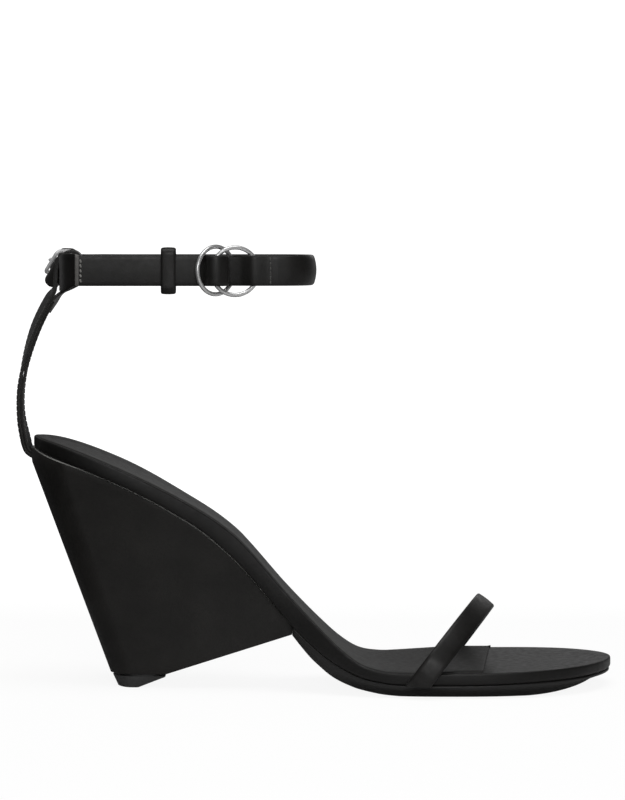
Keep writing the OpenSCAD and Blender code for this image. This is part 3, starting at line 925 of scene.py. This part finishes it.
def paint_corner_highlights(strap):
    """Painted highlight: paler corners along the strap's two long edges, in place of the light
    their rounding catches.
    """
    strap.data.materials.append(CUT_EDGE_AND_HIGHLIGHT)
    for poly in strap.data.polygons:
        if 0.45 < abs(poly.normal.y) < 0.93:
            poly.material_index = 1


def heel_piece(obj, node):
    """Bake the placement of a piece that blends from the shoe into the heel strap, and hide the
    CAD node it replaces.
    """
    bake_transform(obj)
    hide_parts(node)


def build_heel_leather():
    riser_end, last = len(INNER_LINE) - 1, len(OUTER_LINE) - 1

    def twist(i, z):
        # Full twist on the riser, fading out round the loop and back a little at its end
        if i <= riser_end:
            return riser_twist(z)
        return 17.5 * (1 - smooth((i - riser_end) / 9)) + 12 * smooth((i - (last - 14)) / 12)

    def section(i):
        # Thicker on the loop's rear leg, thinned to its end
        extra = 0.5 * smooth((i - riser_end - 2) / 4) * (1 - smooth((i - riser_end - 15) / 8))
        thinning = smooth((i - (last - 9)) / 9)
        thick = (1.16 + extra) * (1 - 0.72 * thinning)
        return strip_section(9.5 - 0.5 * thinning, thick, radius=min(0.26, thick * 0.42),
                             crown=0.12 * (1 - thinning),
                             shift_out=-extra / 2 - 0.42 * thinning)

    twists = [twist(i, z) for i, (x, z) in enumerate(OUTER_LINE)]
    path, frames = side_path(OUTER_LINE, 0.62, twists)
    strap = sweep("heel_strap_leather", path, frames, section, UPPER)
    paint_corner_highlights(strap)
    heel_piece(strap, "heel_strap")


def build_heel_backing():
    path, frames = riser_path(INNER_LINE, -0.6)
    section = strip_section(9.3, 1.08, radius=0.3, crown=-0.02)
    strap = sweep("heel_strap_backing", path, frames, section, LINING)
    paint_corner_highlights(strap)
    heel_piece(strap, "heel_strap_lining")


def build_heel_seams():
    """Two rows of stitches on either face of the riser."""
    pitch, row_offset = 2.15, 3.75
    points = resample(INNER_LINE, step=pitch)
    seams = []
    for offset, face in ((1.26, 1), (-1.2, -1)):
        path, frames = riser_path(points, offset)
        for i in range(4, len(points) - 1):
            across, out = frames[i]
            for edge in (-row_offset, row_offset):
                start = path[i].lerp(path[i + 1], 0.14) + across * edge
                end = path[i].lerp(path[i + 1], 0.80) + across * edge
                seams.append((start, end, out * face))
    seam = stitches("heel_strap_seams", seams, radius=0.23, flat=0.8)
    heel_piece(seam, "heel_strap_stitches")


# ------------------------------------------------------------------ ankle strap
ANKLE_Z = 159.7
STRAP_WIDTH, STRAP_THICK = 11.5, 1.45
END_WIDTH = 8.0  # of the strap ends at the buckle
SLOT_HALF = 1.25  # half height of the slots that let the prong through

BAR = Vector((-26.4, 21.8, 162.6))  # middle of the buckle bar
BAR_RADIUS = 0.75
BAR_TURN = math.radians(-30)
BAR_LEAN_DEG = 36
BAR_LEAN = math.radians(BAR_LEAN_DEG)


def from_bar(along, out, up=0.0):
    """Point at along the strap, outwards, and up the leaning bar, from the bar's middle."""
    away = out * math.cos(BAR_LEAN) + up * -math.sin(BAR_LEAN)
    return (BAR.x - along * math.sin(BAR_TURN) - away * math.cos(BAR_TURN),
            BAR.y + along * math.cos(BAR_TURN) - away * math.sin(BAR_TURN),
            BAR.z + out * math.sin(BAR_LEAN) + up * math.cos(BAR_LEAN))


def bar_direction(along, out, up=0.0):
    return Vector(from_bar(along, out, up)) - Vector(from_bar(0, 0))


def bar_station(along, out, width=END_WIDTH):
    return from_bar(along, out) + (BAR_LEAN_DEG, width)


def level(points):
    """Upright full-width stations at the strap's height."""
    return [(x, y, ANKLE_Z, 0, STRAP_WIDTH) for x, y in points]


# Stations: (x, y, z, lean in degrees, width). The rear strap runs from its sewn end on the
# lateral side, round the ring, back round the heel and through the buckle.
REAR_STATIONS = level([
    (-18.7, -28.4), (-8, -28.4), (4, -28.4), (16, -28.4), (24, -28.4), (27.2, -28.45),
    (29.8, -28.9), (32.4, -30.35), (35, -30.6), (37.2, -29.6), (38.4, -27.9), (38.1, -26.3),
    (36.6, -25.4), (34, -25.3), (30, -25.7), (25, -26.4), (20, -26.65), (8, -26.7),
    (-6, -26.7), (-14, -26.6), (-18.6, -25.1), (-22.8, -20.8), (-24.9, -14), (-25.6, -7),
    (-25.7, 0)])
REAR_STATIONS += [
    (-25.75, 3.2, 159.7, 0, 11.5), (-26, 5.3, 159.6, 2, 11.5), (-27.6, 7.1, 159, 9, 11.5),
    (-29.5, 8.7, 158.4, 16, 11.5), (-30.6, 10.6, 159.1, 24, 10.4),
    (-30.4, 12.3, 160.4, 32, 8.8),
    bar_station(-8.5, -1.95), bar_station(-6.4, -0.95), bar_station(-4, 1.25),
    bar_station(-2, 2.65), bar_station(0, 3.1), bar_station(3, 3.1), bar_station(6, 2.9),
    bar_station(8, 2.6, 7.2), bar_station(9.2, 2.4, 4.8), bar_station(9.65, 2.3, 2.6)]

# The front strap runs from its sewn end round the ring, round the front of the ankle and
# back along the medial side to the buckle bar.
FRONT_STATIONS = level([
    (57.5, -23.25), (54, -22.9), (50.3, -21.7), (46.5, -19.7), (43.5, -18.7), (40.6, -18.5),
    (38.3, -19.8), (37.15, -21.5), (37.2, -22.9), (38.4, -23.75), (40.4, -24), (43.8, -24.5),
    (46.1, -25.3), (48.2, -26), (50.3, -25.85), (54, -25.2), (58, -24.95), (62.6, -23.9),
    (66.6, -21.2), (69.2, -16.3), (70.2, -9), (70.4, 0), (70.1, 9), (68.4, 17), (64.3, 23),
    (57.5, 26.2), (48, 27), (30, 27.2), (10, 27.2), (-4, 27.2)])
FRONT_STATIONS += [
    (-11, 27.2, 160, 6, 11), (-17.5, 26.9, 160.8, 18, 9.6), (-22.2, 25.3, 161.8, 30, 8.3),
    bar_station(2.6, -0.3), bar_station(1.3, 0)]


def rear_crown(x):
    return 0.18


def front_crown(x):
    """The strap bows a little round the front of the ankle."""
    return 0.18 + 0.9 * smooth((x - 60) / 9)


def rear_edges(x, y, width):
    """Lower and upper edge, shifted just before and inside the heel strap's loop."""
    inside = smooth((x + 23) / -2.2) * smooth((-y + 12) / 5) * (1 - smooth((y - 3) / 5))
    before = smooth((-x - 16.5) / 3) * smooth((-y - 9) / 5)
    drop = smooth((-x - 18.6) / 5) * (1 - smooth((y + 5.2) / 1.6))
    return -width / 2 - 2.3 * drop, width / 2 - 1.0 * inside + 0.75 * before


def front_edges(x, y, width):
    return -width / 2, width / 2


def flat_strap(name, stations, lean_sign, crown, edges):
    """Strap through the stations, with its grain side on the right of the path."""
    points = resample(spline(stations, 10), step=0.7)
    path, frames = [], []
    for (x, y, z, lean, _), (left_x, left_y) in zip(points, left_normals(points)):
        turn = math.radians(lean_sign * lean)
        path.append((x, y, z))
        frames.append(((-left_x * math.sin(turn), -left_y * math.sin(turn), math.cos(turn)),
                       (-left_x * math.cos(turn), -left_y * math.cos(turn), -math.sin(turn))))

    def section(i):
        x, y, _, _, width = points[i]
        low, high = edges(x, y, width)
        return strip_section(high - low, STRAP_THICK, radius=0.55, crown=crown(x),
                             flat_steps=10, shift_across=(high + low) / 2)

    strap = sweep(name, path, frames, section, UPPER)
    strap.data.materials.append(CUT_EDGE_AND_HIGHLIGHT)
    strap.data.materials.append(RAW_EDGE)
    # Cut ends: the rear strap's lateral end is the palest
    for poly in strap.data.polygons:
        if poly.center.x < -17.6 * MM and poly.center.y < -27.8 * MM:
            poly.material_index = 2
        elif len(poly.vertices) > 8:
            poly.material_index = 1
    return strap


def cut_slot(strap, start, end, inner, outer):
    """Cut a round-ended slot from start to end along the strap, in the bar's frame."""
    n = 24
    ring = []
    for k in range(n):
        turn = 2 * math.pi * k / n
        centre = end - SLOT_HALF if math.cos(turn) >= 0 else start + SLOT_HALF
        ring.append((centre + SLOT_HALF * math.cos(turn), SLOT_HALF * math.sin(turn)))
    verts = [from_bar(along, out, up) for out in (inner, outer) for along, up in ring]
    faces = grid_faces(2, n, close_cols=True)
    faces += [tuple(range(n)), tuple(range(2 * n - 1, n - 1, -1))]
    cutter = make_object(strap.name + "_cut", verts, faces, None, smooth_shade=False)
    apply_modifier(strap, "BOOLEAN", operation="DIFFERENCE", solver="EXACT", object=cutter)
    bpy.data.objects.remove(cutter)


def build_ankle_straps():
    rear = flat_strap("ankle_strap_rear", REAR_STATIONS, 1, rear_crown, rear_edges)
    front = flat_strap("ankle_strap_front", FRONT_STATIONS, -1, front_crown, front_edges)
    cut_slot(rear, start=-8.0, end=0.1, inner=-3.2, outer=5.0)
    cut_slot(front, start=-4.5, end=3.4, inner=-3.4, outer=3.4)
    piece(front, "ankle_strap", "upper_leather")
    piece(rear, "ankle_strap", "upper_leather", "rear_strap")


def build_bar_fold():
    """The front strap's end wrapped round the buckle bar, split for the prong."""
    low_r, high_r = BAR_RADIUS + 0.15, 2.1
    edge, n = 0.35, 36
    small = edge * 0.3  # the middle point of each rounded corner
    verts, faces = [], []
    for low, high in ((-END_WIDTH / 2, -SLOT_HALF), (SLOT_HALF, END_WIDTH / 2)):
        profile = [
            (low_r, low + edge), (low_r + small, low + small), (low_r + edge, low),
            (high_r - edge, low), (high_r - small, low + small), (high_r, low + edge),
            (high_r, high - edge), (high_r - small, high - small), (high_r - edge, high),
            (low_r + edge, high), (low_r + small, high - small), (low_r, high - edge)]
        faces += grid_faces(n, len(profile), close_cols=True, close_rows=True,
                            base=len(verts))
        verts += revolve_round_bar(profile, n)
    fold = make_object("ankle_strap_fold", verts, faces, UPPER)
    piece(fold, "ankle_strap", "upper_leather", "front_strap")


def revolve_round_bar(profile, n):
    """profile: (radius, height up the bar), turned through n places round it."""
    turns = [2 * math.pi * k / n for k in range(n)]
    return [from_bar(r * math.cos(turn), r * math.sin(turn), up)
            for turn in turns for r, up in profile]


def build_end_stitches():
    """A row of stitches across each sewn end, on the lateral and medial faces."""
    seams = []
    for k in range(5):
        z = ANKLE_Z - 4.2 + 1.85 * k
        # The lateral stitches slant and are shorter
        seams.append(((-16.5, -29.35, z + 0.2), (-16.7, -29.35, z + 0.75), (0, -1, 0)))
        seams.append(((-16.6, -24.87, z), (-16.6, -24.87, z + 1.1), (0, 1, 0)))
    seam = stitches("rear_strap_seam", seams, radius=0.34, flat=0.6, material=THREAD_PALE)
    piece(seam, "ankle_strap", "thread", "rear_strap_stitches")
    seams = []
    for k in range(6):
        z = ANKLE_Z - 4.9 + 1.75 * k
        for y, face in ((-26.18, -1), (-22.13, 1)):
            seams.append(((54.8, y, z), (54.8, y, z + 1.0), (0, face, 0)))
    seam = stitches("front_strap_seam", seams, radius=0.24, flat=0.75)
    piece(seam, "ankle_strap", "thread", "front_strap_stitches")


def build_keeper():
    """Closed band of leather round the doubled strap."""
    centre_x, centre_y = 16.4, -27.45
    width, thick = 5.6, 1.15
    ring = rounded_rectangle(5.1, 16.2, 1.7, steps=8)
    path, frames = [], []
    for i, (y, z) in enumerate(ring):
        before, after = ring[i - 1], ring[(i + 1) % len(ring)]
        dy, dz = after[0] - before[0], after[1] - before[1]
        length = math.hypot(dy, dz)
        path.append((centre_x, centre_y + y, ANKLE_Z + z))
        frames.append(((1, 0, 0), (0, dz / length, -dy / length)))
    section = strip_section(width, thick, radius=thick * 0.45, crown=0.22)
    keeper = sweep("keeper_loop", path, frames, section, UPPER, closed=True)
    piece(keeper, "keeper", "upper_leather", "strap_keeper")


# ------------------------------------------------------------------ metal
RING_OUTER = 19.6  # outer diameter of the two rings
RING_WIRE = 1.65


def wire_loop(name, ring, radius, material, sides):
    """Round wire along a closed flat ring of points."""
    n = len(ring)
    centre = sum((Vector(p) for p in ring), Vector()) / n
    axis = (Vector(ring[0]) - centre).cross(Vector(ring[n // 4]) - centre).normalized()
    frames = []
    for i in range(n):
        tangent = (Vector(ring[(i + 1) % n]) - Vector(ring[i - 1])).normalized()
        frames.append((axis, tangent.cross(axis)))
    turns = [2 * math.pi * k / sides for k in range(sides)]
    section = [(radius * math.cos(turn), radius * math.sin(turn)) for turn in turns]
    return sweep(name, ring, frames, section, material, closed=True)


def build_ring(name, centre, turn_degrees, body, node):
    """Upright ring, turned about the vertical from the x axis."""
    radius, n = (RING_OUTER - RING_WIRE) / 2, 160
    turn = math.radians(turn_degrees)
    points = []
    for k in range(n):
        a = 2 * math.pi * k / n
        points.append((centre[0] + radius * math.cos(a) * math.cos(turn),
                       centre[1] + radius * math.cos(a) * math.sin(turn),
                       centre[2] + radius * math.sin(a)))
    ring = wire_loop(name, points, RING_WIRE / 2, HARDWARE, sides=28)
    piece(ring, body, "hardware", node)


def build_buckle_frame():
    outline = rounded_rectangle(9.7, 10.1, 1.6, steps=10)
    points = [from_bar(-4.35 - a, 0.0, b) for a, b in outline]
    wire = wire_loop("buckle_frame_wire", points, 0.74, BUCKLE_PAINTED_SHINE, sides=20)
    piece(wire, "buckle", "hardware", "buckle_frame")


def build_buckle_bar():
    """Rod with rounded ends."""
    half_length, edge, sides = 5.3, 0.25, 24
    start, end = Vector(from_bar(0, 0, -half_length)), Vector(from_bar(0, 0, half_length))
    axis = (end - start).normalized()
    side = axis.orthogonal().normalized()
    other = axis.cross(side)
    length = (end - start).length
    radius, small = BAR_RADIUS, edge * 0.3
    profile = [  # (distance along the rod, radius)
        (0, 0.0), (0, radius - edge), (small, radius - small), (edge, radius),
        (length - edge, radius), (length - small, radius - small), (length, radius - edge),
        (length, 0.0)]
    verts = []
    for along, r in profile:
        for k in range(sides):
            turn = 2 * math.pi * k / sides
            verts.append(tuple(start + axis * along + side * (r * math.cos(turn))
                               + other * (r * math.sin(turn))))
    faces = grid_faces(len(profile), sides, close_cols=True)
    bar = make_object("buckle_bar_pin", verts, faces, BUCKLE_PAINTED_SHINE)
    piece(bar, "buckle", "hardware", "buckle_bar")


def build_prong_shaft():
    # (distance from the bar towards the tip, distance outwards)
    line = [(1.1, 0.55), (2.6, 0.45), (5, 0.9), (7.6, 1.62), (8.4, 1.66), (9.0, 1.45)]
    points = resample(spline(line, 8), count=30)
    path = [from_bar(-reach, out) for reach, out in points]
    up = bar_direction(0, 0, 1)
    frames = [(up, bar_direction(-nx, ny)) for nx, ny in left_normals(points)]

    def squared(value):
        """Push a sine or cosine outwards for a squarer section."""
        return math.copysign(abs(value) ** 0.75, value)

    def section(i):
        s = i / (len(points) - 1)
        # A slight taper, then a rounded tip
        size = max(1.0 - 0.25 * s - 0.75 * max(0, (s - 0.93) / 0.07) ** 2, 0.15)
        turns = [2 * math.pi * j / 20 for j in range(20)]
        return [(0.85 * size * squared(math.cos(turn)), 0.55 * size * squared(math.sin(turn)))
                for turn in turns]

    return sweep("prong_shaft", path, frames, section, BUCKLE_PAINTED_SHINE)


def build_prong_eye():
    """Chamfered collar round the bar."""
    mean_radius, n = 1.15, 40
    section = [  # (height up the bar, distance outside the mean radius)
        (-0.85, -0.16), (-0.72, -0.3), (0.72, -0.3), (0.85, -0.16),
        (0.85, 0.16), (0.72, 0.3), (-0.72, 0.3), (-0.85, 0.16)]
    verts = revolve_round_bar([(mean_radius + out, up) for up, out in section], n)
    faces = grid_faces(n, len(section), close_cols=True, close_rows=True)
    eye = make_object("prong_eye", verts, faces, BUCKLE_PAINTED_SHINE)
    sharpen_edges(eye, 50)
    return eye


def build_prong():
    shaft = build_prong_shaft()
    eye = build_prong_eye()
    piece(shaft, "prong", "hardware", "buckle_prong")
    piece(eye, "prong", "hardware")


# ------------------------------------------------------------------ floor, light, camera
WHITE = (1.0, 1.0, 1.0, 1)


def floor_material():
    """White sweep that takes only a faint shadow; what it throws back is weaker."""
    material = bpy.data.materials.new("studio_floor")
    tree = empty_tree(material)
    output = add_node(tree, "ShaderNodeOutputMaterial")
    position = add_node(tree, "ShaderNodeNewGeometry").outputs["Position"]
    axes = add_node(tree, "ShaderNodeSeparateXYZ", {0: position}).outputs
    # Seen by the camera: a glow that brightens with distance, with a little real shading
    brightness = map_range(tree, axes["Y"], from_min=0.2, from_max=0.9,
                           to_min=1.08, to_max=1.4)
    glow = add_node(tree, "ShaderNodeEmission", {"Color": WHITE, "Strength": brightness})
    shaded = add_node(tree, "ShaderNodeBsdfDiffuse", {"Color": (0.95, 0.95, 0.95, 1)})
    seen = mix_shaders(tree, 0.16, glow, shaded)
    # Met by other rays: painted shade, darker towards the heel so that the back of the heel is
    # shaded, and a dim glow far behind the shoe
    shade = map_range(tree, axes["X"], from_min=-0.10, from_max=0.06, to_min=0.05, to_max=0.8)
    bounce = add_node(tree, "ShaderNodeBsdfDiffuse", {"Color": shade})
    dim = add_node(tree, "ShaderNodeEmission", {"Color": WHITE, "Strength": 0.14})
    distance = map_range(tree, axes["Y"], from_min=0.8, from_max=2.6)
    unseen = mix_shaders(tree, distance, bounce, dim)
    camera_ray = add_node(tree, "ShaderNodeLightPath").outputs["Is Camera Ray"]
    surface = mix_shaders(tree, camera_ray, unseen, seen)
    feed(tree, output, {"Surface": surface.outputs[0]})
    return material


def build_floor():
    """Flat floor that curves up into a wall behind the shoe, in metres."""
    half_width, half_depth, bend, wall_top = 6.0, 3.0, 1.5, 6.0
    clearance = 0.0001  # gap below the sole
    steps = 24
    profile = [(-half_depth, 0.0), (half_depth, 0.0)]
    for k in range(1, steps + 1):
        turn = math.pi / 2 * k / steps
        profile.append((half_depth + bend * math.sin(turn), bend - bend * math.cos(turn)))
    profile.append((half_depth + bend, wall_top))
    verts = [(x, y, z - clearance) for x in (-half_width, half_width) for y, z in profile]
    floor = make_object("studio_sweep", verts, grid_faces(2, len(profile)), floor_material(),
                        scale=1.0)


def area_light(name, location, target, size_x, size_y, power):
    light = bpy.data.lights.new(name, "AREA")
    light.shape = "RECTANGLE"
    light.size, light.size_y = size_x, size_y
    light.energy = power
    obj = bpy.data.objects.new(name, light)
    bpy.context.scene.collection.objects.link(obj)
    obj.location = location
    aim = Vector(target) - Vector(location)
    obj.rotation_euler = aim.to_track_quat("-Z", "Y").to_euler()


def build_lights():
    area_light("key_top", location=(0.12, -0.35, 1.5), target=(0.08, 0, 0.05),
               size_x=1.1, size_y=0.9, power=10)
    area_light("front_soft", location=(0.12, -2.2, 0.75), target=(0.07, 0, 0.09),
               size_x=0.9, size_y=0.7, power=11.5)
    area_light("toe_glow", location=(0.45, 1.5, 0.6), target=(0.12, 0, 0.02),
               size_x=0.7, size_y=0.35, power=0.7)


def build_world():
    """White to the camera, a dim fill light to everything else."""
    world = bpy.data.worlds.new("studio_world")
    bpy.context.scene.world = world
    tree = empty_tree(world)
    output = add_node(tree, "ShaderNodeOutputWorld")
    fill = add_node(tree, "ShaderNodeBackground", {"Color": WHITE, "Strength": 0.07})
    backdrop = add_node(tree, "ShaderNodeBackground", {"Color": WHITE, "Strength": 1.0})
    camera_ray = add_node(tree, "ShaderNodeLightPath").outputs["Is Camera Ray"]
    mixed = mix_shaders(tree, camera_ray, fill, backdrop)
    feed(tree, output, {"Surface": mixed.outputs[0]})


def build_camera():
    """Level camera on the lateral side, looking along +y."""
    distance = 1.25
    view_width = 0.240625  # width seen in the plane y = 0
    camera = bpy.data.cameras.new("camera")
    obj = bpy.data.objects.new("camera", camera)
    bpy.context.scene.collection.objects.link(obj)
    obj.location = (0.07065, -distance, 0.17788)
    obj.rotation_euler = (math.radians(90), 0, 0)
    camera.sensor_fit = "HORIZONTAL"
    camera.sensor_width = 36.0
    camera.lens = 36.0 * distance / view_width
    camera.shift_y = -0.284  # lowers the view, as a part of its width
    camera.clip_start, camera.clip_end = 0.05, 30
    bpy.context.scene.camera = obj


# ------------------------------------------------------------------ build
dress_kept_pieces()
build_footbed_wrap()
build_sock()
build_outsole()
build_wedge()
build_top_piece()
build_toe_strap()
build_heel_leather()
build_heel_backing()
build_heel_seams()
build_ankle_straps()
build_bar_fold()
build_end_stitches()
build_keeper()
build_ring("ring_rear_wire", (34.2, -26.45, ANKLE_Z + 0.1), 42, "rear_ring", "ring_rear")
build_ring("ring_front_wire", (41.5, -26.05, ANKLE_Z - 0.2), 15, "front_ring", "ring_front")
build_buckle_frame()
build_buckle_bar()
build_prong()
build_floor()
build_lights()
build_world()
bpy.context.scene.view_settings.view_transform = "Standard"
bpy.context.scene.view_settings.look = "None"
build_camera()
